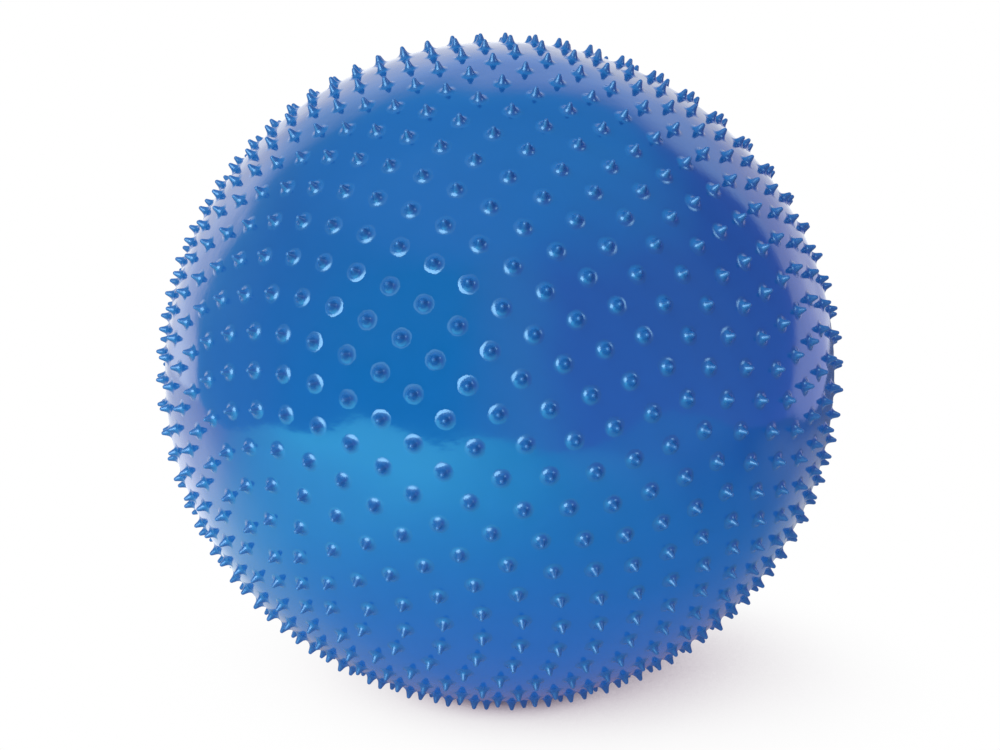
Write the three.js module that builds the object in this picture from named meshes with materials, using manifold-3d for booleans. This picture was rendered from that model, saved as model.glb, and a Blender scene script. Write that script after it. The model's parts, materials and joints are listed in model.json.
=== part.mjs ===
// An inflated massage ball: a hollow vinyl skin covered with moulded spikes, closed by an air valve.
// Millimetres and degrees, +Z up. The origin is on the floor, straight below the ball's middle.
// The side that faces -Y is the front, and the valve looks up and away to the back right.

import * as THREE from 'three';
import { ConvexHull } from 'three/addons/math/ConvexHull.js';
import { mergeVertices } from 'three/addons/utils/BufferGeometryUtils.js';
import Module from 'manifold-3d';

const wasm = await Module();
wasm.setup();

// Skin
const SKIN_WIDTH = 650;
const SKIN_HEIGHT = 640;
const SKIN_WALL = 1;
const FLOOR_PRESS = 6.5;

// Spikes, in rows round the axis that runs through the valve
const SPIKE_HEIGHT = 9;
const SPIKE_BASE_DIAMETER = 13;
const SPIKE_SIDES = 3;
const SPIKE_ROWS = 29;
const ROW_SHIFT = 0.5;
const ROW_START = -11;

// Valve
const VALVE_TILT = 62;
const VALVE_TURN = 52.5;
const SEAT_RIM = 2;
const FLANGE_DIAMETER = 28;
const FLANGE_THICKNESS = 2;
const FLANGE_CHAMFER = 0.8;
const NECK_DIAMETER = 16;
const NECK_LENGTH = 14;
const BORE_DIAMETER = 10;
const PLUG_HEAD_DIAMETER = 20;
const PLUG_HEAD_THICKNESS = 2.5;
const PLUG_HEAD_CHAMFER = 0.8;
const PLUG_STEM_REACH = 4;
const PLUG_STEM_TAPER = 1.5;
const PLUG_TIP_CHAMFER = 1.5;

// Fits and facets
const FIT_GAP = 0.3;
const ROUND_SIDES = 32;
const CUT_MARGIN = 5;
const ROUND_OFF = 1e-6;

const semiAxes = new THREE.Vector3(SKIN_WIDTH, SKIN_WIDTH, SKIN_HEIGHT).divideScalar(2);
const ballCentre = new THREE.Vector3(0, 0, SKIN_HEIGHT / 2 + SPIKE_HEIGHT - FLOOR_PRESS);
const rowStep = Math.PI / (SPIKE_ROWS + 1);
const rowStart = THREE.MathUtils.degToRad(ROW_START);
const seatRadius = FLANGE_DIAMETER / 2 + SEAT_RIM;
const valveTurn = new THREE.Quaternion().setFromEuler(new THREE.Euler(
  0,
  THREE.MathUtils.degToRad(VALVE_TILT),
  THREE.MathUtils.degToRad(VALVE_TURN),
  'ZYX',
));

// The ball is a sphere pressed a little flat, so a direction from its middle gives a point and a normal.
const skinPoint = (direction, depth = 0) =>
  direction.clone().multiply(semiAxes.clone().subScalar(depth)).add(ballCentre);
const skinNormal = (direction) => direction.clone().divide(semiAxes).normalize();

// A unit direction at a polar angle from +Z and an azimuth round it.
const aroundZ = (polar, azimuth) => new THREE.Vector3(
  Math.sin(polar) * Math.cos(azimuth),
  Math.sin(polar) * Math.sin(azimuth),
  Math.cos(polar),
);

// Rows are counted from the spike at the front pole, which lies opposite the valve.
const rowDirection = (polar, azimuth) => aroundZ(Math.PI - polar, azimuth).applyQuaternion(valveTurn);

// Each row holds as many spikes as fit round it at the pitch between two rows, and the rows stop short of
// the valve's seat.
function spikeDirections() {
  const directions = [rowDirection(0, 0)];
  const bareRadius = seatRadius + SPIKE_BASE_DIAMETER / 2;
  const lastPolar = Math.PI - bareRadius / (SKIN_WIDTH / 2);
  for (let row = 1; row * rowStep < lastPolar; row += 1) {
    const polar = row * rowStep;
    const count = Math.floor(2 * Math.PI * Math.sin(polar) / rowStep + ROUND_OFF);
    const step = 2 * Math.PI / count;
    for (let place = 0; place < count; place += 1) {
      directions.push(rowDirection(polar, rowStart + (place + row * ROW_SHIFT) * step));
    }
  }
  return directions;
}

// Corners of a regular ring on the skin, round a direction and at a radius from it.
function ringOnSkin(direction, radius, sides) {
  const turn = new THREE.Quaternion().setFromUnitVectors(new THREE.Vector3(0, 0, 1), direction);
  const opening = radius / (SKIN_WIDTH / 2);
  const corners = [];
  for (let side = 0; side < sides; side += 1) {
    corners.push(skinPoint(aroundZ(opening, side * 2 * Math.PI / sides).applyQuaternion(turn)));
  }
  return corners;
}

// Triangles of the convex hull, as lists of three of the given points.
function hullTriangles(points) {
  const hull = new ConvexHull().setFromPoints(points);
  return hull.faces.map((face) => {
    const first = face.edge;
    return [first, first.next, first.next.next].map((edge) => edge.head().point);
  });
}

function geometryFromTriangles(triangles) {
  const geometry = new THREE.BufferGeometry().setFromPoints(triangles.flat());
  return mergeVertices(geometry);
}

function solidFromGeometry(geometry) {
  const bare = geometry.clone();
  bare.deleteAttribute('normal');
  bare.deleteAttribute('uv');
  const merged = mergeVertices(bare);
  return new wasm.Manifold(new wasm.Mesh({
    numProp: 3,
    vertProperties: merged.attributes.position.array,
    triVerts: Uint32Array.from(merged.index.array),
  }));
}

function geometryFromSolid(solid) {
  const { vertProperties, triVerts } = solid.getMesh();
  const geometry = new THREE.BufferGeometry();
  geometry.setAttribute('position', new THREE.BufferAttribute(vertProperties, 3));
  geometry.setIndex(new THREE.BufferAttribute(triVerts, 1));
  geometry.computeVertexNormals();
  return geometry;
}

// A turned piece about +Z, from outline points given as [radius, height].
function turned(outline) {
  const points = outline.map(([radius, height]) => new THREE.Vector2(radius, height));
  return new THREE.LatheGeometry(points, ROUND_SIDES).rotateX(Math.PI / 2);
}

const valveDirection = rowDirection(Math.PI, 0);
const seatCorners = ringOnSkin(valveDirection, seatRadius, ROUND_SIDES);
const seatMiddle = seatCorners
  .reduce((sum, corner) => sum.add(corner), new THREE.Vector3())
  .divideScalar(seatCorners.length);
const spikes = spikeDirections();

const valve = new THREE.Group();
valve.position.copy(seatMiddle);
valve.quaternion.setFromUnitVectors(new THREE.Vector3(0, 0, 1), skinNormal(valveDirection));
valve.updateMatrix();

// The skin and its spikes come out of one mould. Facets run between the spikes' feet and round a flat
// valve seat, and each foot carries straight sides up to a tip.
function spikedSkin() {
  const feet = spikes.map((direction) => ringOnSkin(direction, SPIKE_BASE_DIAMETER / 2, SPIKE_SIDES));
  const footOf = new Map();
  feet.forEach((foot) => foot.forEach((corner) => footOf.set(corner, foot)));
  const closesFoot = ([a, b, c]) =>
    footOf.has(a) && footOf.get(a) === footOf.get(b) && footOf.get(a) === footOf.get(c);
  const outer = hullTriangles([...feet.flat(), ...seatCorners])
    .filter((triangle) => !closesFoot(triangle));
  spikes.forEach((direction, index) => {
    const foot = feet[index];
    const tip = skinPoint(direction).addScaledVector(skinNormal(direction), SPIKE_HEIGHT);
    foot.forEach((corner, side) => outer.push([corner, foot[(side + 1) % SPIKE_SIDES], tip]));
  });

  const inside = [...spikes, valveDirection].map((direction) => skinPoint(direction, SKIN_WALL));
  const holeRadius = NECK_DIAMETER / 2 + FIT_GAP;
  const holeLength = 2 * (SKIN_WALL + CUT_MARGIN);
  const hole = new THREE.CylinderGeometry(holeRadius, holeRadius, holeLength, ROUND_SIDES)
    .rotateX(Math.PI / 2)
    .applyMatrix4(valve.matrix);
  const floor = new THREE.BoxGeometry(SKIN_WIDTH, SKIN_WIDTH, SKIN_HEIGHT)
    .translate(0, 0, -SKIN_HEIGHT / 2);
  return geometryFromSolid(solidFromGeometry(geometryFromTriangles(outer))
    .subtract(solidFromGeometry(geometryFromTriangles(hullTriangles(inside))))
    .subtract(solidFromGeometry(hole))
    .subtract(solidFromGeometry(floor)));
}

// The bush lines the hole in the skin, with its flange bonded on the flat seat outside.
const flangeTop = FIT_GAP + FLANGE_THICKNESS;
const valveBush = () => turned([
  [BORE_DIAMETER / 2, -NECK_LENGTH],
  [NECK_DIAMETER / 2, -NECK_LENGTH],
  [NECK_DIAMETER / 2, FIT_GAP],
  [FLANGE_DIAMETER / 2, FIT_GAP],
  [FLANGE_DIAMETER / 2, flangeTop - FLANGE_CHAMFER],
  [FLANGE_DIAMETER / 2 - FLANGE_CHAMFER, flangeTop],
  [BORE_DIAMETER / 2, flangeTop],
  [BORE_DIAMETER / 2, -NECK_LENGTH],
]);

// The plug is pushed down the bore until its head meets the flange, and its stem narrows towards the inside.
const headUnderside = flangeTop + FIT_GAP;
const headTop = headUnderside + PLUG_HEAD_THICKNESS;
const stemTop = BORE_DIAMETER / 2 - FIT_GAP;
const stemFoot = stemTop - PLUG_STEM_TAPER / 2;
const stemEnd = -NECK_LENGTH - PLUG_STEM_REACH;
const airPlug = () => turned([
  [0, stemEnd],
  [stemFoot - PLUG_TIP_CHAMFER, stemEnd],
  [stemFoot, stemEnd + PLUG_TIP_CHAMFER],
  [stemTop, headUnderside],
  [PLUG_HEAD_DIAMETER / 2, headUnderside],
  [PLUG_HEAD_DIAMETER / 2, headTop - PLUG_HEAD_CHAMFER],
  [PLUG_HEAD_DIAMETER / 2 - PLUG_HEAD_CHAMFER, headTop],
  [0, headTop],
]);

const blueVinyl = { color: 0x1f62b4, roughness: 0.3, metalness: 0 };
const paleBlueVinyl = { color: 0x2c7cc8, roughness: 0.4, metalness: 0 };
const whitePlastic = { color: 0xe8e8e4, roughness: 0.45, metalness: 0 };

function piece(name, geometry, finish) {
  const mesh = new THREE.Mesh(geometry, new THREE.MeshStandardMaterial(finish));
  mesh.name = name;
  return mesh;
}

const ball = new THREE.Group();
ball.add(piece('spiked_skin', spikedSkin(), blueVinyl));
valve.add(piece('valve_bush', valveBush(), paleBlueVinyl));
valve.add(piece('air_plug', airPlug(), whitePlastic));
ball.add(valve);

export default ball;
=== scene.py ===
# %% [markdown]
# # An inflated massage ball
# This lesson dresses the model of a blue vinyl ball whose skin is covered with small moulded spikes.
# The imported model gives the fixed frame: where the floor is, where the valve points and how the plug moves.
# Its own meshes could be painted, but they have flat facets, so each piece is built again here, smooth and in
# the same place. Everything is in metres, with +Z up, and the front of the ball faces -Y.

# %% Load the frame
import json
import math

import bmesh
import bpy
import numpy as np
from mathutils import Euler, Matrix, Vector


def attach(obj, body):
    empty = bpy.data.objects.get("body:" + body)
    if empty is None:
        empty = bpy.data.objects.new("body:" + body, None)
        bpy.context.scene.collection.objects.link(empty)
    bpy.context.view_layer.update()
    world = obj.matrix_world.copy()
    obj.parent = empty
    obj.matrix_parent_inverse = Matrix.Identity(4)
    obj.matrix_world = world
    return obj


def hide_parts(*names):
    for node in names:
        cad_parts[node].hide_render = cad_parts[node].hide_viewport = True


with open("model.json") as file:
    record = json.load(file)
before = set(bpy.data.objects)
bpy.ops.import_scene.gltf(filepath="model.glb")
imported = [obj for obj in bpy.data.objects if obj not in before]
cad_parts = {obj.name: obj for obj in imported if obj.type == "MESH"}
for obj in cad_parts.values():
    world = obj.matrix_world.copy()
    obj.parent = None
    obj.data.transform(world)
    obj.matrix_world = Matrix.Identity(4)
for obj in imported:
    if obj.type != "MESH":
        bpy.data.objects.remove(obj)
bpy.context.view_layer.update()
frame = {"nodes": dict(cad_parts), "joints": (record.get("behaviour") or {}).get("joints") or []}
valve_normal = Vector(frame["joints"][0]["axis"]).normalized()
print("nodes:", sorted(frame["nodes"]))

# %% [markdown]
# ## Sizes of the ball
# The skin is a sphere that its own weight presses a little flat, so it is wider than high.
# It could be measured off the frame's mesh, but a maker knows it by its few sizes, so they are named here.
# The spikes under the ball are pressed into the floor, which sets the height of the ball's middle.

# %% Sizes
SKIN_WIDTH = 0.650
SKIN_HEIGHT = 0.640
SPIKE_HEIGHT = 0.009
FLOOR_PRESS = 0.0065

skin_radius = SKIN_WIDTH / 2
half_sizes = np.array([SKIN_WIDTH, SKIN_WIDTH, SKIN_HEIGHT]) / 2
ball_centre = np.array([0, 0, SKIN_HEIGHT / 2 + SPIKE_HEIGHT - FLOOR_PRESS])
print("middle of the ball at", ball_centre)

# %% [markdown]
# ## The camera
# The photograph looks slightly down at the ball from about six radii away.
# A camera could be placed by eye, but here its distance and lens follow from how wide the ball is in the
# picture, so the model can be laid over the photograph.

# %% Camera
IMAGE_WIDTH = 1000
IMAGE_HEIGHT = 750
BALL_MIDDLE_PIXEL = (499.7, 371.3)
SKIN_HALF_WIDTH_PIXELS = 334.7
CAMERA_ELEVATION = math.radians(10)
CAMERA_DISTANCE = 6 * skin_radius
SENSOR_WIDTH = 36

pixels_per_unit_slope = SKIN_HALF_WIDTH_PIXELS * math.sqrt((CAMERA_DISTANCE / skin_radius) ** 2 - 1)
to_camera = Vector((0, -math.cos(CAMERA_ELEVATION), math.sin(CAMERA_ELEVATION)))
picture_up = Vector((0, math.sin(CAMERA_ELEVATION), math.cos(CAMERA_ELEVATION)))
side_slope = (BALL_MIDDLE_PIXEL[0] - IMAGE_WIDTH / 2) / pixels_per_unit_slope
drop_slope = (BALL_MIDDLE_PIXEL[1] - IMAGE_HEIGHT / 2) / pixels_per_unit_slope
camera_place = Vector(ball_centre) + CAMERA_DISTANCE * to_camera
aim = Vector(ball_centre) + CAMERA_DISTANCE * (drop_slope * picture_up - side_slope * Vector((1, 0, 0)))

camera = bpy.data.objects.new("camera", bpy.data.cameras.new("camera"))
camera.location = camera_place
camera.rotation_euler = (aim - camera_place).to_track_quat("-Z", "Y").to_euler()
camera.data.sensor_width = SENSOR_WIDTH
camera.data.lens = SENSOR_WIDTH * pixels_per_unit_slope / IMAGE_WIDTH
bpy.context.scene.collection.objects.link(camera)
bpy.context.scene.camera = camera
print("lens in millimetres:", round(camera.data.lens, 1))

# %% [markdown]
# ## Points on the skin
# Every point of the ball is found from a direction that starts at its middle.
# A ring of directions round one of them gives the foot of a spike, the edge of the valve's seat or a whole
# circle of latitude, so one small set of functions serves all the pieces of the ball.

# %% Points and rings on the skin
UPRIGHT = 0.9


def skin_normals(directions):
    """Unit vectors that stand straight up from the skin in the given directions."""
    normals = directions / half_sizes
    return normals / np.linalg.norm(normals, axis=-1, keepdims=True)


def skin_points(directions, height=0.0):
    """Points in the given directions from the ball's middle, at a height over the skin."""
    return ball_centre + directions * half_sizes + skin_normals(directions) * height


def rings_round(directions, radius, sides):
    """A ring of directions round each given direction, at a radius measured along the skin."""
    steep = np.abs(directions[:, 2:]) > UPRIGHT
    helper = np.where(steep, [[1.0, 0.0, 0.0]], [[0.0, 0.0, 1.0]])
    across = np.cross(helper, directions)
    across /= np.linalg.norm(across, axis=1, keepdims=True)
    along = np.cross(directions, across)
    angle = (np.arange(sides) * 2 * math.pi / sides)[None, :, None]
    spread = np.cos(angle) * across[:, None] + np.sin(angle) * along[:, None]
    opening = radius / skin_radius
    return math.cos(opening) * directions[:, None] + math.sin(opening) * spread


print("top of the skin at", skin_points(np.array([0.0, 0.0, 1.0])))

# %% [markdown]
# ## Pieces made of rings
# The skin, the spikes, the bush and the plug are all round about an axis, as if turned on a lathe.
# Each is a stack of rings joined with quads, closed with a point at both ends or by meeting its own start.
# A screw modifier could turn an outline too, but it couldn't follow the curve of the skin under each spike.

# %% Joining rings into a mesh
SHARP_EDGE = math.radians(40)


def smooth_object(name, points, faces):
    """An object with smooth faces that look outward, and with creases only where it bends sharply."""
    data = bpy.data.meshes.new(name)
    data.from_pydata(points.tolist(), [], faces)
    shaped = bmesh.new()
    shaped.from_mesh(data)
    bmesh.ops.recalc_face_normals(shaped, faces=shaped.faces)
    shaped.to_mesh(data)
    shaped.free()
    data.shade_smooth()
    data.set_sharp_from_angle(angle=SHARP_EDGE)
    made = bpy.data.objects.new(name, data)
    bpy.context.scene.collection.objects.link(made)
    print(name, "has", len(data.vertices), "points and", len(data.polygons), "faces")
    return made


def fan(tips, rings):
    """Triangles from each tip to the ring next to it."""
    tips = np.broadcast_to(tips[:, None], rings.shape)
    return np.stack([tips, rings, np.roll(rings, -1, 1)], -1).reshape(-1, 3).tolist()


def ringed_object(name, rings, ends=None):
    """An object from points sorted by piece, ring and side.

    The ends are one point below and one above each piece. Without them the last ring meets the first.
    """
    pieces, levels, sides, _ = rings.shape
    places = np.arange(pieces * levels * sides).reshape(pieces, levels, sides)
    points = [rings.reshape(-1, 3)]
    if ends is None:
        lower, upper = places, np.roll(places, -1, 1)
        faces = []
    else:
        lower, upper = places[:, :-1], places[:, 1:]
        tips = places.size + np.arange(2 * pieces).reshape(2, pieces)
        points.extend(ends)
        faces = fan(tips[0], places[:, 0]) + fan(tips[1], places[:, -1])
    quads = np.stack([lower, np.roll(lower, -1, 2), np.roll(upper, -1, 2), upper], -1)
    faces += quads.reshape(-1, 4).tolist()
    return smooth_object(name, np.concatenate(points), faces)


# %% [markdown]
# ## The skin
# The skin is a thin hollow shell with one hole, where the valve goes, in a small flat seat.
# Its rings start at the pole opposite the valve, run over the outside to the hole and back over the inside.
# A UV sphere with a solidify modifier could do, but its rings wouldn't end neatly at the valve's hole.
# On the real ball the wall is about a millimetre, so it would fold like cloth without the air in it.

# %% Build the skin
SKIN_WALL = 0.001
FIT_GAP = 0.0003
FLANGE_RADIUS = 0.014
SEAT_RIM = 0.002
NECK_RADIUS = 0.008
SKIN_SIDES = 192
OUTER_RINGS = 128
INNER_RINGS = 48

seat_radius = FLANGE_RADIUS + SEAT_RIM
hole_radius = NECK_RADIUS + FIT_GAP
half_way_round = math.pi * skin_radius
valve_direction = np.array(valve_normal) * half_sizes
valve_direction /= np.linalg.norm(valve_direction)
far_pole = -valve_direction[None]


def valve_ring(radius, height=0.0):
    """A ring of points round the valve, at a radius along the skin and a height over it."""
    return skin_points(rings_round(valve_direction[None], radius, SKIN_SIDES)[0], height)


seat_middle = valve_ring(seat_radius).mean(0)


def on_seat(points, height=0.0):
    """The points moved along the valve's axis, to a height over its seat."""
    drop = (points - seat_middle) @ np.array(valve_normal) - height
    return points - drop[:, None] * np.array(valve_normal)


hole_edge = valve_ring(hole_radius)
outer_radii = np.linspace(half_way_round, seat_radius, OUTER_RINGS + 1)[1:]
inner_radii = np.linspace(hole_radius, half_way_round, INNER_RINGS + 1)[1:-1]
skin_rings = [valve_ring(radius) for radius in outer_radii]
skin_rings += [on_seat(hole_edge), on_seat(hole_edge, -SKIN_WALL)]
skin_rings += [valve_ring(radius, -SKIN_WALL) for radius in inner_radii]

skin = ringed_object("vinyl_skin", np.array(skin_rings)[None],
                     [skin_points(far_pole), skin_points(far_pole, -SKIN_WALL)])
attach(skin, "ball")
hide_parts("spiked_skin")

# %% [markdown]
# ## Rows of spikes
# The mould has its spikes in rows round the axis through the valve, like circles of latitude.
# Each row holds as many spikes as fit at the pitch between two rows, so they are evenly spread all over.
# A random scatter would look wrong, because the photograph shows clear rows that curve round one pole.

# %% Where the spikes are
SPIKE_ROWS = 29
ROW_SHIFT = 0.5
ROW_START = math.radians(-11)
ROUND_OFF = 1e-6

row_step = math.pi / (SPIKE_ROWS + 1)
valve_turn = np.array(Euler((
    0,
    math.acos(valve_direction[2]),
    math.atan2(valve_direction[1], valve_direction[0]),
)).to_matrix())


def row_directions(polar, azimuth):
    """Directions of one row, at a polar angle from the pole opposite the valve."""
    level = np.full_like(azimuth, -math.cos(polar))
    local = np.stack([math.sin(polar) * np.cos(azimuth), math.sin(polar) * np.sin(azimuth), level], -1)
    return local @ valve_turn.T


def spike_directions():
    """Directions of all spikes: the one at the pole opposite the valve, then row by row."""
    rows = [far_pole]
    for row in range(1, SPIKE_ROWS + 1):
        polar = row * row_step
        count = math.floor(2 * math.pi * math.sin(polar) / row_step + ROUND_OFF)
        places = np.arange(count) + row * ROW_SHIFT
        rows.append(row_directions(polar, ROW_START + places * 2 * math.pi / count))
    return np.concatenate(rows)


spikes_at = spike_directions()
print("spikes:", len(spikes_at))

# %% [markdown]
# ## Outline of a spike
# A spike is a small cone with a round tip, and a hollow curve runs from its wall down to a foot on the skin.
# It could be drawn as a curve by hand, but two arcs and the wall between them are all that it is, so it is
# worked out from the two radii and the slopes of foot and wall.

# %% Outline of a spike
SPIKE_TIP_RADIUS = 0.0020
SPIKE_FOOT_RADIUS = 0.0085
SPIKE_WALL_SLOPE = math.radians(70)
SPIKE_FOOT_SLOPE = math.radians(3)
SUNK_DEPTH = 0.0001
FOOT_STEPS = 6
TIP_STEPS = 4


def spike_outline():
    """Radius and height of each ring of a spike: the sunk rim, the hollow foot and the tip."""
    tip_level = SPIKE_HEIGHT - SPIKE_TIP_RADIUS
    wall_reach = SPIKE_TIP_RADIUS / math.sin(SPIKE_WALL_SLOPE) + tip_level / math.tan(SPIKE_WALL_SLOPE)
    sine_gain = math.sin(SPIKE_WALL_SLOPE) - math.sin(SPIKE_FOOT_SLOPE)
    cosine_loss = math.cos(SPIKE_FOOT_SLOPE) - math.cos(SPIKE_WALL_SLOPE)
    foot_curve = (SPIKE_FOOT_RADIUS - wall_reach) / (sine_gain - cosine_loss / math.tan(SPIKE_WALL_SLOPE))
    outline = [(SPIKE_FOOT_RADIUS + SUNK_DEPTH / math.tan(SPIKE_FOOT_SLOPE), -SUNK_DEPTH)]
    for slope in np.linspace(SPIKE_FOOT_SLOPE, SPIKE_WALL_SLOPE, FOOT_STEPS):
        inward = foot_curve * (math.sin(slope) - math.sin(SPIKE_FOOT_SLOPE))
        height = foot_curve * (math.cos(SPIKE_FOOT_SLOPE) - math.cos(slope))
        outline.append((SPIKE_FOOT_RADIUS - inward, height))
    for slope in np.linspace(SPIKE_WALL_SLOPE, 0, TIP_STEPS, endpoint=False):
        outline.append((SPIKE_TIP_RADIUS * math.sin(slope), tip_level + SPIKE_TIP_RADIUS * math.cos(slope)))
    return outline


print("rings of a spike:", len(spike_outline()))

# %% [markdown]
# ## Spikes on the skin
# The mould shapes the spikes together with the skin. Here they are meshes of their own, sunk a little into
# the skin, because that keeps every mesh simple. The floor presses the lowest ones flat.
# Instances would be lighter, but each foot follows the curve of the skin at its own place.
# A mesh attribute keeps how far up its spike each point is, so that the finish can change towards the tip.

# %% A mesh of many spikes
SPIKE_SIDES = 15


def spikes_object(name, directions):
    """Spikes in the given directions, with how far each point has risen kept for the finish."""
    axes = skin_normals(directions)[:, None]
    outline = spike_outline()
    rings = np.stack([
        skin_points(rings_round(directions, radius, SPIKE_SIDES)) + axes * height
        for radius, height in outline
    ], 1)
    ends = [skin_points(directions, -SUNK_DEPTH), skin_points(directions, SPIKE_HEIGHT)]
    for points in (rings, *ends):
        points[..., 2] = np.maximum(points[..., 2], 0)
    made = ringed_object(name, rings, ends)

    count = len(directions)
    ring_rise = np.clip([height / SPIKE_HEIGHT for _, height in outline], 0, 1)
    ring_rise = np.tile(np.repeat(ring_rise, SPIKE_SIDES), count)
    rise = made.data.attributes.new("spike_rise", "FLOAT", "POINT")
    rise.data.foreach_set("value", np.concatenate([ring_rise, np.zeros(count), np.ones(count)]))
    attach(made, "ball")
    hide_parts("spiked_skin")
    return made


# %% [markdown]
# ## Patches of spikes
# All spikes of the ball are alike, but the photograph's lamps don't show on all of them in the same way.
# Blender links a lamp to whole objects, so the spikes at the two spots where a lamp would be mirrored too
# strongly are meshes of their own. The others are split into the half round the valve and the far half.

# %% Build the spikes
# Each patch is a turn to the right of the front, an elevation and a reach, in degrees.
FRONT_PATCH = (-16, 14, 11.5)
RIGHT_PATCH = (32, 24, 10)


def toward(turn, elevation):
    """A direction at a turn to the right of the front and at an elevation, both in degrees."""
    turn, elevation = math.radians(turn), math.radians(elevation)
    return Vector((
        math.sin(turn) * math.cos(elevation),
        -math.cos(turn) * math.cos(elevation),
        math.sin(elevation),
    ))


def in_patch(turn, elevation, reach):
    """Which spikes lie within a reach, in degrees, of a direction."""
    return spikes_at @ np.array(toward(turn, elevation)) > math.cos(math.radians(reach))


front_patch = in_patch(*FRONT_PATCH)
right_patch = in_patch(*RIGHT_PATCH) & ~front_patch
elsewhere = ~front_patch & ~right_patch
faces_valve = spikes_at @ valve_direction > 0
far_spikes = spikes_object("vinyl_spikes_far_side", spikes_at[elsewhere & ~faces_valve])
valve_spikes = spikes_object("vinyl_spikes_valve_side", spikes_at[elsewhere & faces_valve])
front_spikes = spikes_object("vinyl_spikes_front_patch", spikes_at[front_patch])
right_spikes = spikes_object("vinyl_spikes_right_patch", spikes_at[right_patch])
all_spikes = (far_spikes, valve_spikes, front_spikes, right_spikes)

# %% [markdown]
# ## Turned mouldings
# Bush and plug are small round mouldings. Every edge of a moulding is a little round, and without that it
# would catch no light. A bevel modifier could round them, but the outline is so short that each corner is
# rounded before it is turned about the valve's axis, which keeps the rings even.

# %% Round an outline and turn it
EDGE_ROUNDING = 0.0007
ROUNDING_STEPS = 5
VALVE_SIDES = 64


def rounded(corners, closed):
    """An outline of radius and height with round corners. The two ends of an open one stay as they are."""
    corners = [Vector(corner) for corner in corners]
    outline = []
    for place, corner in enumerate(corners):
        if not closed and place in (0, len(corners) - 1):
            outline.append(corner)
            continue
        before = corners[place - 1] - corner
        after = corners[(place + 1) % len(corners)] - corner
        reach = min(EDGE_ROUNDING, before.length / 2, after.length / 2)
        start = corner + before.normalized() * reach
        end = corner + after.normalized() * reach
        for step in np.linspace(0, 1, ROUNDING_STEPS):
            outline.append(start.lerp(corner, step).lerp(corner.lerp(end, step), step))
    return outline


def turned_on_valve(outline):
    """Rings of points about the valve's axis, for an outline of radius and height over the seat."""
    turn = np.array(valve_normal.to_track_quat("Z", "Y").to_matrix())
    angle = np.arange(VALVE_SIDES) * 2 * math.pi / VALVE_SIDES
    circle = np.stack([np.cos(angle), np.sin(angle), np.zeros(VALVE_SIDES)], -1)
    rings = [circle * point[0] + np.array([0, 0, point[1]]) for point in outline]
    return seat_middle + np.array(rings) @ turn.T


print("middle of the valve's seat at", seat_middle)

# %% [markdown]
# ## The bush
# A thick vinyl bush lines the hole in the skin, with a flange bonded to the seat outside.
# It could be cut out of a cylinder, but as its outline closes on itself, turning it gives the bore as well.

# %% Build the bush
FLANGE_THICKNESS = 0.002
NECK_LENGTH = 0.014
BORE_RADIUS = 0.005

flange_top = FIT_GAP + FLANGE_THICKNESS
bush_outline = rounded([
    (BORE_RADIUS, -NECK_LENGTH),
    (NECK_RADIUS, -NECK_LENGTH),
    (NECK_RADIUS, FIT_GAP),
    (FLANGE_RADIUS, FIT_GAP),
    (FLANGE_RADIUS, flange_top),
    (BORE_RADIUS, flange_top),
], closed=True)
bush = ringed_object("vinyl_bush", turned_on_valve(bush_outline)[None])
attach(bush, "ball")
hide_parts("valve_bush")

# %% [markdown]
# ## The plug
# A tapered plug is pushed into the bush and can be pulled out with a fingernail under its head.
# It could be one mesh with the bush, but then it couldn't move. So it is a piece of its own, on the body that
# slides along the valve's axis. Its outline starts and ends on that axis, where a point closes it.

# %% Build the plug
HEAD_RADIUS = 0.010
HEAD_THICKNESS = 0.0025
STEM_TAPER = 0.0015
STEM_REACH = 0.004

head_bottom = flange_top + FIT_GAP
head_top = head_bottom + HEAD_THICKNESS
stem_radius = BORE_RADIUS - FIT_GAP
stem_end_radius = stem_radius - STEM_TAPER / 2
stem_end = -NECK_LENGTH - STEM_REACH
plug_outline = rounded([
    (0, stem_end),
    (stem_end_radius, stem_end),
    (stem_radius, head_bottom),
    (HEAD_RADIUS, head_bottom),
    (HEAD_RADIUS, head_top),
    (0, head_top),
], closed=False)
plug_rings = turned_on_valve(plug_outline)
plug = ringed_object("plastic_plug", plug_rings[None, 1:-1], [plug_rings[0, :1], plug_rings[-1, :1]])
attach(plug, "plug")
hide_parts("air_plug")

# %% [markdown]
# ## Nodes in few words
# A material is a tree of nodes. It could be drawn in the shader editor, but a script shows every value.
# These helpers add a node and fill in its inputs, so that a material reads as a short list of steps.

# %% Helpers for nodes
def feed(tree, node, inputs):
    """Puts constants or other nodes' outputs on a node's inputs, with colours as red, green and blue."""
    for name, value in inputs.items():
        socket = node.inputs[name]
        if isinstance(value, bpy.types.NodeSocket):
            tree.links.new(value, socket)
        elif socket.type == "RGBA":
            socket.default_value = (*value, 1)
        else:
            socket.default_value = value


def add_node(tree, kind, inputs, **settings):
    """A new node with its settings, and with its inputs filled in."""
    made = tree.nodes.new(kind)
    for name, value in settings.items():
        setattr(made, name, value)
    feed(tree, made, inputs)
    return made


def blend(tree, share, first, second):
    """A colour between two others, by a share from 0 to 1."""
    mix = add_node(tree, "ShaderNodeMix", {"Factor": share, "A": first, "B": second}, data_type="RGBA")
    return mix.outputs["Result"]


# %% [markdown]
# ## What a moulding looks like close up
# Moulded vinyl is one colour all through, yet its gloss is not quite even and its face is never quite flat.
# Air holds the skin in very shallow waves, which make reflections wander.
# The waves could be modelled, but bump in the shading moves the reflections and leaves the outline round.
# Every piece has this unevenness, so it is a group of nodes. Each material places it and gives it the scales.

# %% Shared unevenness
WAVE_DETAIL = 1.0
GRAIN_DETAIL = 3.0
GRAIN_SHARE = 0.02


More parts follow.
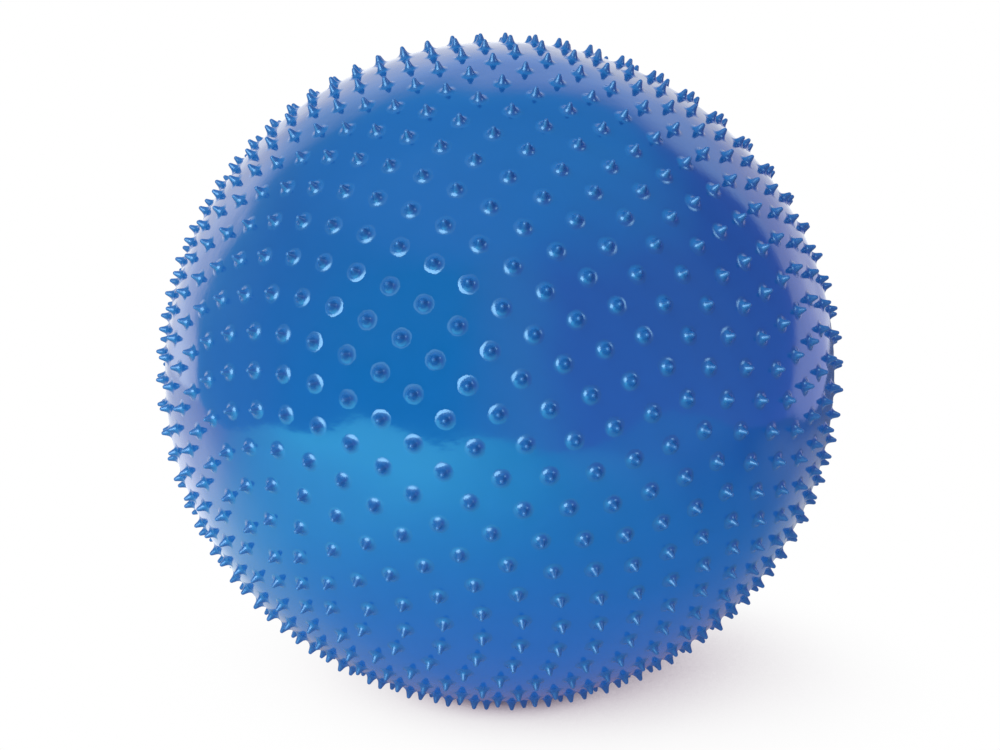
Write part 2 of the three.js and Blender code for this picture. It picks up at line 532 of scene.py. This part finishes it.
def moulded_face():
    """A node group that gives a cloud from 0 to 1 and the height of shallow waves with a fine grain."""
    group = bpy.data.node_groups.new("moulded face", "ShaderNodeTree")
    for name in ("Wave Scale", "Grain Scale"):
        group.interface.new_socket(name, in_out="INPUT", socket_type="NodeSocketFloat")
    for name in ("Cloud", "Height"):
        group.interface.new_socket(name, in_out="OUTPUT", socket_type="NodeSocketFloat")
    scales = group.nodes.new("NodeGroupInput").outputs
    place = group.nodes.new("ShaderNodeTexCoord").outputs["Object"]
    wave = add_node(group, "ShaderNodeTexNoise", {
        "Vector": place, "Scale": scales["Wave Scale"], "Detail": WAVE_DETAIL})
    grain = add_node(group, "ShaderNodeTexNoise", {
        "Vector": place, "Scale": scales["Grain Scale"], "Detail": GRAIN_DETAIL})
    height = add_node(group, "ShaderNodeMath", {
        0: grain.outputs["Fac"], 1: GRAIN_SHARE, 2: wave.outputs["Fac"]}, operation="MULTIPLY_ADD")
    add_node(group, "NodeGroupOutput", {"Cloud": grain.outputs["Fac"], "Height": height.outputs["Value"]})
    return group


moulding = moulded_face()
print("node group:", moulding.name)

# %% [markdown]
# ## A moulded finish
# Each piece is one plain plastic, so one Principled shader does, with a deep and a pale colour that differ
# only slightly. A cloud mixes them, or a mesh attribute where the finish follows the shape.
# The same share sets the roughness, since the eye sees uneven gloss sooner than uneven colour.

# %% A moulded finish
WAVE_SCALE = 7.0
GRAIN_SCALE = 45.0
WAVE_DEPTH = 0.012
PLASTIC_IOR = 1.5


def moulded_material(name, deep, pale, roughness, mirror_tint, mix_by=None):
    """A finish that goes from a deep to a pale colour by the cloud or by a mesh attribute."""
    material = bpy.data.materials.new(name)
    material.use_nodes = True
    tree = material.node_tree
    scales = {"Wave Scale": WAVE_SCALE, "Grain Scale": GRAIN_SCALE}
    face = add_node(tree, "ShaderNodeGroup", scales, node_tree=moulding)
    if mix_by is None:
        share = face.outputs["Cloud"]
    else:
        share = add_node(tree, "ShaderNodeAttribute", {}, attribute_name=mix_by).outputs["Fac"]
    gloss = add_node(tree, "ShaderNodeMapRange", {
        "Value": share, "To Min": roughness[0], "To Max": roughness[1]})
    bump = add_node(tree, "ShaderNodeBump", {"Height": face.outputs["Height"], "Distance": WAVE_DEPTH})
    feed(tree, tree.nodes["Principled BSDF"], {
        "IOR": PLASTIC_IOR,
        "Specular Tint": mirror_tint,
        "Base Color": blend(tree, share, deep, pale),
        "Roughness": gloss.outputs["Result"],
        "Normal": bump.outputs["Normal"],
    })
    print(name, "has", len(tree.nodes), "nodes")
    return material


# %% [markdown]
# ## Blue vinyl
# The skin is pigmented deep blue and comes out of a polished mould, so it mirrors the room clearly.
# The spikes lie deep in that mould, where it can't be polished so well. Their gloss is softer, and softer
# still towards the tips. A little less green in the mirror tint brings out the violet of the reflections.
# The spikes' colours are painted light: darker than the skin as shade, paler at the tips as a glow.

# %% Vinyl of the skin and the spikes
VINYL_MIRROR = (1.0, 0.92, 1.0)

skin.data.materials.append(moulded_material(
    "blue vinyl",
    deep=(0.006, 0.083, 0.335),
    pale=(0.006, 0.089, 0.355),
    roughness=(0.08, 0.13),
    mirror_tint=VINYL_MIRROR,
))
spike_vinyl = moulded_material(
    "blue vinyl spikes",
    # Darker than the skin's vinyl: painted shade on the sides that the spike key lamp doesn't reach.
    deep=(0.006, 0.078, 0.290),
    # Paler at the tips: a painted glow standing in for light that shows through the thin vinyl.
    pale=(0.008, 0.088, 0.290),
    roughness=(0.22, 0.45),
    mirror_tint=VINYL_MIRROR,
    mix_by="spike_rise",
)
for made in all_spikes:
    made.data.materials.append(spike_vinyl)

# %% [markdown]
# ## The valve's plastics
# The bush is a paler vinyl and the plug a hard white plastic, both from plain moulds with a satin face.
# They could share one finish, but two colours show where one piece ends and the next begins.

# %% Finishes of the valve
PLAIN_MIRROR = (1.0, 1.0, 1.0)

bush.data.materials.append(moulded_material(
    "pale blue vinyl",
    deep=(0.012, 0.14, 0.40),
    pale=(0.014, 0.16, 0.44),
    roughness=(0.30, 0.42),
    mirror_tint=VINYL_MIRROR,
))
plug.data.materials.append(moulded_material(
    "white plastic",
    deep=(0.62, 0.62, 0.60),
    pale=(0.68, 0.68, 0.66),
    roughness=(0.36, 0.48),
    mirror_tint=PLAIN_MIRROR,
))

# %% [markdown]
# ## The floor
# The ball stands on a white floor that runs into a white backdrop, so no horizon shows.
# A curved paper sweep could be built and lit until it is pure white, but that light would fall on the ball
# too. Here the floor is one flat sheet, and its material says apart what the eye sees of it, what the ball
# mirrors and how much light it throws back.

# %% Lay the floor
FLOOR_LEFT, FLOOR_RIGHT = -1.55, 1.6
FLOOR_FRONT, FLOOR_BACK = -1.85, 3.0

floor_mesh = bpy.data.meshes.new("floor")
floor_mesh.from_pydata([
    (FLOOR_LEFT, FLOOR_FRONT, 0),
    (FLOOR_RIGHT, FLOOR_FRONT, 0),
    (FLOOR_RIGHT, FLOOR_BACK, 0),
    (FLOOR_LEFT, FLOOR_BACK, 0),
], [], [(0, 1, 2, 3)])
floor = bpy.data.objects.new("floor", floor_mesh)
bpy.context.scene.collection.objects.link(floor)
print("floor in metres:", round(FLOOR_RIGHT - FLOOR_LEFT, 2), "by", round(FLOOR_BACK - FLOOR_FRONT, 2))

# %% [markdown]
# ## Soft edges
# Nothing in a studio ends sharply: a pool of light and a shadow both fade out over some distance.
# A colour ramp could draw each fade, but its stops are hard to read in a script, so every fade here is one
# smooth step between two named places. The floor's material is begun with the places that its fades go by.

# %% Helpers for soft edges
def step_up(tree, value, start, end, low=0.0, high=1.0):
    """A value that goes smoothly from low to high while another one goes from start to end."""
    return add_node(tree, "ShaderNodeMapRange", {
        "Value": value, "From Min": start, "From Max": end, "To Min": low, "To Max": high,
    }, interpolation_type="SMOOTHSTEP").outputs["Result"]


def combine(tree, operation, *values):
    """One value from two or more, by a step of arithmetic."""
    total = values[0]
    for value in values[1:]:
        total = add_node(tree, "ShaderNodeMath", {0: total, 1: value}, operation=operation).outputs["Value"]
    return total


paint = bpy.data.materials.new("white floor")
paint.use_nodes = True
floor_mesh.materials.append(paint)
sweep = paint.node_tree
on_floor = sweep.nodes.new("ShaderNodeTexCoord").outputs["Object"]
floor_parts = add_node(sweep, "ShaderNodeSeparateXYZ", {"Vector": on_floor}).outputs
away = add_node(sweep, "ShaderNodeVectorMath", {0: on_floor}, operation="LENGTH").outputs["Value"]
print("material of the floor:", paint.name)

# %% [markdown]
# ## Shade on the floor
# The photograph shows a soft violet shade under the ball and to its right, darkest where the ball touches
# the floor. Lamps could cast it, but then the floor could not stay pure white. So the shade is worked out
# from how much of the sky the ball hides, looking towards the light at the front left, and it turns greyer
# where it is deep.

# %% What the eye sees of the floor
WHITE = (1, 1, 1)
SHADE_TILT = (-0.65, -0.90, 0.0)
SHADE_REACH = 0.28
SHADE_SAMPLES = 16
SHADE_POWER = 3.66
SHADE_DEPTH = 2.0
CONTACT_REACH = (0.03, 0.115)
CONTACT_DEPTH = 0.32
SHADE_COLOUR = (0.11, 0.0, 0.11)
DEEP_SHADE_COLOUR = (0.08, 0.08, 0.13)
DEEP_SHADE_RANGE = (0.45, 1.0)

upward = sweep.nodes.new("ShaderNodeNewGeometry").outputs["Normal"]
to_light = add_node(sweep, "ShaderNodeVectorMath", {0: upward, 1: SHADE_TILT}, operation="ADD")
to_light = add_node(sweep, "ShaderNodeVectorMath", {0: to_light.outputs["Vector"]}, operation="NORMALIZE")
open_sky = add_node(sweep, "ShaderNodeAmbientOcclusion", {
    "Distance": SHADE_REACH, "Normal": to_light.outputs["Vector"]}, samples=SHADE_SAMPLES)
hidden = combine(sweep, "SUBTRACT", 1.0, open_sky.outputs["AO"])
cast = combine(sweep, "MULTIPLY", combine(sweep, "POWER", hidden, SHADE_POWER), SHADE_DEPTH)
shade = combine(sweep, "ADD", cast, step_up(sweep, away, *CONTACT_REACH, CONTACT_DEPTH, 0.0))
shaded_white = blend(sweep, shade, WHITE, SHADE_COLOUR)
shaded_white = blend(sweep, step_up(sweep, shade, *DEEP_SHADE_RANGE), shaded_white, DEEP_SHADE_COLOUR)
seen_floor = add_node(sweep, "ShaderNodeEmission", {"Color": shaded_white})
print("floor nodes so far:", len(sweep.nodes))

# %% [markdown]
# ## The floor in the mirror
# The lower half of a glossy ball mirrors the floor. In the photograph that is a pool of light from the front
# left, a bluer one on the right, a pale sheen on the left and behind, and the ball's own shade in the middle.
# Lamps could draw these pools, but the eye would see them on the floor as well. So each is a colour that
# fades out over the floor and that only mirrored rays meet.

# %% Pools of light on the floor
POOL_COLOUR = (0.05, 1.0, 1.02)
POOL_STRENGTH = 4.3
POOL_FADE_RIGHT = (-0.60, 1.15)
POOL_FADE_BACK = (-1.04, 0.20)
RIGHT_COLOUR = (0.25, 0.9, 1.45)
RIGHT_RISE = (0.1, 0.7)
RIGHT_FADE_BACK = (-1.0, -0.2)
SHEEN_FRONT, SHEEN_BEHIND = (0.35, 0.97, 0.97), (0.95, 0.97, 0.97)
SHEEN_TURN = (-0.3, 0.5)
SHEEN_LEFT, SHEEN_RIGHT, SHEEN_BACK = 1.05, 0.05, 0.45
SHEEN_FADE = (-0.7, 0.2)
SHEEN_RISE_BACK = (-0.35, 0.35)
SHEEN_BACK_REACH = (0.7, 1.6)

pool = combine(
    sweep, "MULTIPLY",
    step_up(sweep, floor_parts["X"], *POOL_FADE_RIGHT, POOL_STRENGTH, 0.0),
    step_up(sweep, floor_parts["Y"], *POOL_FADE_BACK, 1.0, 0.0),
)
right_pool = combine(
    sweep, "MULTIPLY",
    step_up(sweep, floor_parts["X"], *RIGHT_RISE),
    step_up(sweep, floor_parts["Y"], *RIGHT_FADE_BACK, 1.0, 0.0),
)
sheen_behind = combine(
    sweep, "MULTIPLY",
    step_up(sweep, floor_parts["Y"], *SHEEN_RISE_BACK, 0.0, SHEEN_BACK),
    step_up(sweep, away, *SHEEN_BACK_REACH, 1.0, 0.0),
)
sheen_beside = step_up(sweep, floor_parts["X"], *SHEEN_FADE, SHEEN_LEFT, SHEEN_RIGHT)
sheen = combine(sweep, "ADD", sheen_beside, sheen_behind)
sheen_colour = blend(sweep, step_up(sweep, floor_parts["Y"], *SHEEN_TURN), SHEEN_FRONT, SHEEN_BEHIND)
print("floor nodes so far:", len(sweep.nodes))

# %% [markdown]
# ## One floor for three kinds of rays
# A ray that comes from the camera, one that left a mirror and one that gathers soft light can each meet a
# different floor, because the Light Path node tells them apart.
# Near the ball the pools are dimmed, since the ball stands in its own light there.

# %% Put the floor together
UNDER_BALL, FAR_FLOOR = (0.23, 0.08, 0.14), (0.07, 0.08, 0.12)
UNDER_REACH = (0.2, 0.55)
NEAR_BALL = (0.0, 0.56)
NEAR_BALL_SHARE = 0.12
FLOOR_WHITE = (0.9, 0.9, 0.9)
FLOOR_GLOW = 0.80

clear_of_ball = step_up(sweep, away, *NEAR_BALL, NEAR_BALL_SHARE, 1.0)
dim_floor = blend(sweep, step_up(sweep, away, *UNDER_REACH), UNDER_BALL, FAR_FLOOR)
mirrored = add_node(sweep, "ShaderNodeEmission", {"Color": dim_floor})
for colour, strength in ((POOL_COLOUR, pool), (RIGHT_COLOUR, right_pool), (sheen_colour, sheen)):
    light = add_node(sweep, "ShaderNodeEmission", {
        "Color": colour, "Strength": combine(sweep, "MULTIPLY", strength, clear_of_ball)})
    mirrored = add_node(sweep, "ShaderNodeAddShader", {0: mirrored.outputs[0], 1: light.outputs["Emission"]})
matt = add_node(sweep, "ShaderNodeBsdfDiffuse", {"Color": FLOOR_WHITE})
glow = add_node(sweep, "ShaderNodeEmission", {"Color": WHITE, "Strength": FLOOR_GLOW})
lit_floor = add_node(sweep, "ShaderNodeAddShader", {0: matt.outputs["BSDF"], 1: glow.outputs["Emission"]})

floor_path = sweep.nodes.new("ShaderNodeLightPath").outputs
plain = add_node(sweep, "ShaderNodeMixShader", {
    0: floor_path["Is Camera Ray"], 1: lit_floor.outputs["Shader"], 2: seen_floor.outputs["Emission"]})
floor_look = add_node(sweep, "ShaderNodeMixShader", {
    0: floor_path["Is Glossy Ray"], 1: plain.outputs["Shader"], 2: mirrored.outputs["Shader"]})
feed(sweep, sweep.nodes["Material Output"], {"Surface": floor_look.outputs["Shader"]})
print("floor nodes:", len(sweep.nodes))

# %% [markdown]
# ## The room in the mirror
# A glossy ball shows the room it stands in: a blue-green window side on the left, a paler front, a dim purple
# wall on the right and a pale blue ceiling. Real panels could stand there, but they would also throw light,
# so these are colours of the world, blended by the direction of the mirrored ray.

# %% Walls and ceiling
# The turns are degrees to the right of the front. The other ranges are shares of a ray's unit length.
WINDOW_FAR, WINDOW_NEAR = (0.26, 0.78, 1.0), (0.0, 1.55, 1.85)
WINDOW_TURN = (-110, -30)
FRONT = (0.45, 1.52, 1.82)
FRONT_TURN = (-24, 10)
WALL, WALL_END = (0.42, 0.50, 1.15), (0.23, 0.22, 0.90)
WALL_TURN = (4, 30)
WALL_END_TURN = (70, 110)
CEILING_FRONT, CEILING_BACK = (0.33, 1.7, 2.75), (0.2, 1.15, 2.1)
CEILING_DEPTH = (-0.1, 0.4)
CEILING_RISE = (0.55, 0.94)

world = bpy.data.worlds.new("studio")
bpy.context.scene.world = world
world.use_nodes = True
sky = world.node_tree
look = sky.nodes.new("ShaderNodeTexCoord").outputs["Generated"]
look_parts = add_node(sky, "ShaderNodeSeparateXYZ", {"Vector": look}).outputs
azimuth = combine(sky, "ARCTAN2", look_parts["X"], combine(sky, "MULTIPLY", look_parts["Y"], -1.0))


def past_turn(start, end):
    """A share that rises from 0 to 1 between two turns."""
    return step_up(sky, azimuth, math.radians(start), math.radians(end))


window = blend(sky, past_turn(*WINDOW_TURN), WINDOW_FAR, WINDOW_NEAR)
window = blend(sky, past_turn(*FRONT_TURN), window, FRONT)
wall = blend(sky, past_turn(*WALL_END_TURN), WALL, WALL_END)
walls = blend(sky, past_turn(*WALL_TURN), window, wall)
ceiling = blend(sky, step_up(sky, look_parts["Y"], *CEILING_DEPTH), CEILING_FRONT, CEILING_BACK)
room = blend(sky, step_up(sky, look_parts["Z"], *CEILING_RISE), walls, ceiling)
print("room nodes so far:", len(sky.nodes))

# %% [markdown]
# ## The backdrop in the mirror
# The bright backdrop behind the ball makes the pale band round its edge, white on the left, violet on the
# right and bluer at the top. A lit plane could stand there, but the camera would see it too.
# A ray that is divided by how far back it goes gives a place on such a plane, so the panel is drawn there.

# %% Backdrop
# Ranges are places on a plane one unit behind the ball. BEHIND_BALL is a share of a ray's unit length.
BACKDROP_LEFT, BACKDROP_MIDDLE, BACKDROP_RIGHT = (1.8, 1.92, 2.0), (1.2, 1.22, 1.25), (0.84, 0.85, 1.35)
LEFT_TO_MIDDLE = (-0.95, -0.5)
MIDDLE_TO_RIGHT = (0.2, 1.0)
BACKDROP_TOP_LEFT, BACKDROP_TOP_RIGHT = (0.98, 1.42, 1.82), (0.95, 1.32, 1.98)
TOP_LEFT_TO_RIGHT = (-0.7, 0.1)
LOW_TO_TOP = (0.30, 0.90)
BACKDROP_HALF_WIDTH = (1.10, 1.55)
BACKDROP_SPREAD = 0.4
BACKDROP_SPREAD_TOP = (-0.05, 0.45)
BACKDROP_TOP = (0.95, 1.95)
BACKDROP_TOP_SLANT = 0.33
BACKDROP_TOP_TILT = -0.04
BEHIND_BALL = (0.0, 0.05)

across_back = combine(sky, "DIVIDE", look_parts["X"], look_parts["Y"])
up_back = combine(sky, "DIVIDE", look_parts["Z"], look_parts["Y"])
off_middle = add_node(sky, "ShaderNodeMath", {0: across_back}, operation="ABSOLUTE").outputs["Value"]
low = blend(sky, step_up(sky, across_back, *LEFT_TO_MIDDLE), BACKDROP_LEFT, BACKDROP_MIDDLE)
low = blend(sky, step_up(sky, across_back, *MIDDLE_TO_RIGHT), low, BACKDROP_RIGHT)
top = blend(sky, step_up(sky, across_back, *TOP_LEFT_TO_RIGHT), BACKDROP_TOP_LEFT, BACKDROP_TOP_RIGHT)
backdrop = blend(sky, step_up(sky, up_back, *LOW_TO_TOP), low, top)

slanted = combine(
    sky, "ADD", up_back,
    combine(sky, "MULTIPLY", off_middle, BACKDROP_TOP_SLANT),
    combine(sky, "MULTIPLY", across_back, BACKDROP_TOP_TILT),
)
spread = step_up(sky, up_back, *BACKDROP_SPREAD_TOP, BACKDROP_SPREAD, 0.0)
on_backdrop = combine(
    sky, "MULTIPLY",
    step_up(sky, look_parts["Y"], *BEHIND_BALL),
    step_up(sky, combine(sky, "SUBTRACT", off_middle, spread), *BACKDROP_HALF_WIDTH, 1.0, 0.0),
    step_up(sky, slanted, *BACKDROP_TOP, 1.0, 0.0),
)
room = blend(sky, on_backdrop, room, backdrop)
print("room nodes so far:", len(sky.nodes))

# %% [markdown]
# ## One world for three kinds of rays
# The eye sees plain white round the ball, and the ball mirrors the room.
# Everything else gathers a soft grey light that is a little dimmer and more violet on the right. A light tent
# round the ball would give that light too, but it would show in the mirror.

# %% Put the room together
SOFT_LEFT, SOFT_RIGHT = (0.55, 0.55, 0.55), (0.50, 0.48, 0.55)
SOFT_TURN = (-0.7, 0.7)

soft_light = blend(sky, step_up(sky, look_parts["X"], *SOFT_TURN), SOFT_LEFT, SOFT_RIGHT)
sky_path = sky.nodes.new("ShaderNodeLightPath").outputs
unseen = blend(sky, sky_path["Is Glossy Ray"], soft_light, room)
whole = blend(sky, sky_path["Is Camera Ray"], unseen, WHITE)
feed(sky, sky.nodes["Background"], {"Color": whole})
bpy.context.scene.view_settings.view_transform = "Standard"
print("room nodes:", len(sky.nodes))

# %% [markdown]
# ## Key lamps
# A wide, soft lamp from the upper left gives the ball its round form.
# The spikes stand out a little paler than the skin in the photograph. A paler material would do that on every
# side, so a second lamp of the same kind is linked to them alone, with less blue in it.
# Neither shows in the mirror, where the room is already painted.

# %% Key lamps
KEY_FROM = Vector((-0.5, -0.45, 0.74))
KEY_STRENGTH = 1.5
SPIKE_KEY_FROM = Vector((-0.60, -0.60, 0.53))
SPIKE_KEY_STRENGTH = 1.3
SPIKE_KEY_COLOUR = (1.0, 1.0, 0.72)
KEY_SPREAD = math.radians(70)
KEY_DISTANCE = 3.0


def lamp(name, kind, toward_lamp, distance):
    """A lamp in a direction from the ball's middle, turned to shine on it."""
    made = bpy.data.objects.new(name, bpy.data.lights.new(name, kind))
    made.location = Vector(ball_centre) + distance * toward_lamp
    made.rotation_euler = (-toward_lamp).to_track_quat("-Z", "Y").to_euler()
    bpy.context.scene.collection.objects.link(made)
    return made


def key_lamp(name, from_place, strength):
    """A soft sun that doesn't show in the mirror."""
    made = lamp(name, "SUN", from_place.normalized(), KEY_DISTANCE)
    made.data.energy = strength
    made.data.angle = KEY_SPREAD
    made.visible_glossy = False
    return made


def light_only(made, pieces):
    """Keeps a lamp's light to the given pieces."""
    receivers = bpy.data.collections.new(made.name + " receivers")
    for piece in pieces:
        receivers.objects.link(piece)
    made.light_linking.receiver_collection = receivers


key_lamp("key", KEY_FROM, KEY_STRENGTH)
spike_key = key_lamp("spike key", SPIKE_KEY_FROM, SPIKE_KEY_STRENGTH)
spike_key.data.color = SPIKE_KEY_COLOUR
light_only(spike_key, all_spikes)
print("lamps so far:", [light.name for light in bpy.data.lights])

# %% [markdown]
# ## Glints
# Two round softboxes, to the left and to the right of the camera, make the pale glints on the spikes.
# They could be painted into the room, but the photograph has no such glints on the skin, so they are lamps
# that are linked to the spikes alone. At the spot where a softbox is mirrored straight into the camera, it
# would draw bright rings round the spikes' feet. So the front patch gets only a faint copy of the left one,
# and the right patch none of the right one.

# %% Glints on the spikes
GLINT_DISTANCE = 2.4
GLINT_COLOUR = (0.50, 0.95, 1.0)
LEFT_FROM, RIGHT_FROM = toward(-32, 17), toward(69, 31)
LEFT_WIDTH, RIGHT_WIDTH = 2.0, 1.0
LEFT_BRIGHTNESS, FAINT_BRIGHTNESS, RIGHT_BRIGHTNESS = 9.5, 1.3, 5.0


def glint(name, toward_lamp, width, brightness, *spikes):
    """A round softbox for some of the spikes, equally bright to look at whatever its width."""
    made = lamp(name, "AREA", toward_lamp, GLINT_DISTANCE)
    made.data.color = GLINT_COLOUR
    made.data.shape = "DISK"
    made.data.size = width
    made.data.energy = brightness * math.pi * width ** 2
    made.visible_diffuse = False
    light_only(made, spikes)


glint("glint", LEFT_FROM, LEFT_WIDTH, LEFT_BRIGHTNESS, far_spikes, valve_spikes, right_spikes)
glint("faint glint", LEFT_FROM, LEFT_WIDTH, FAINT_BRIGHTNESS, front_spikes)
glint("side glint", RIGHT_FROM, RIGHT_WIDTH, RIGHT_BRIGHTNESS, far_spikes, valve_spikes, front_spikes)
print("lamps:", [light.name for light in bpy.data.lights])
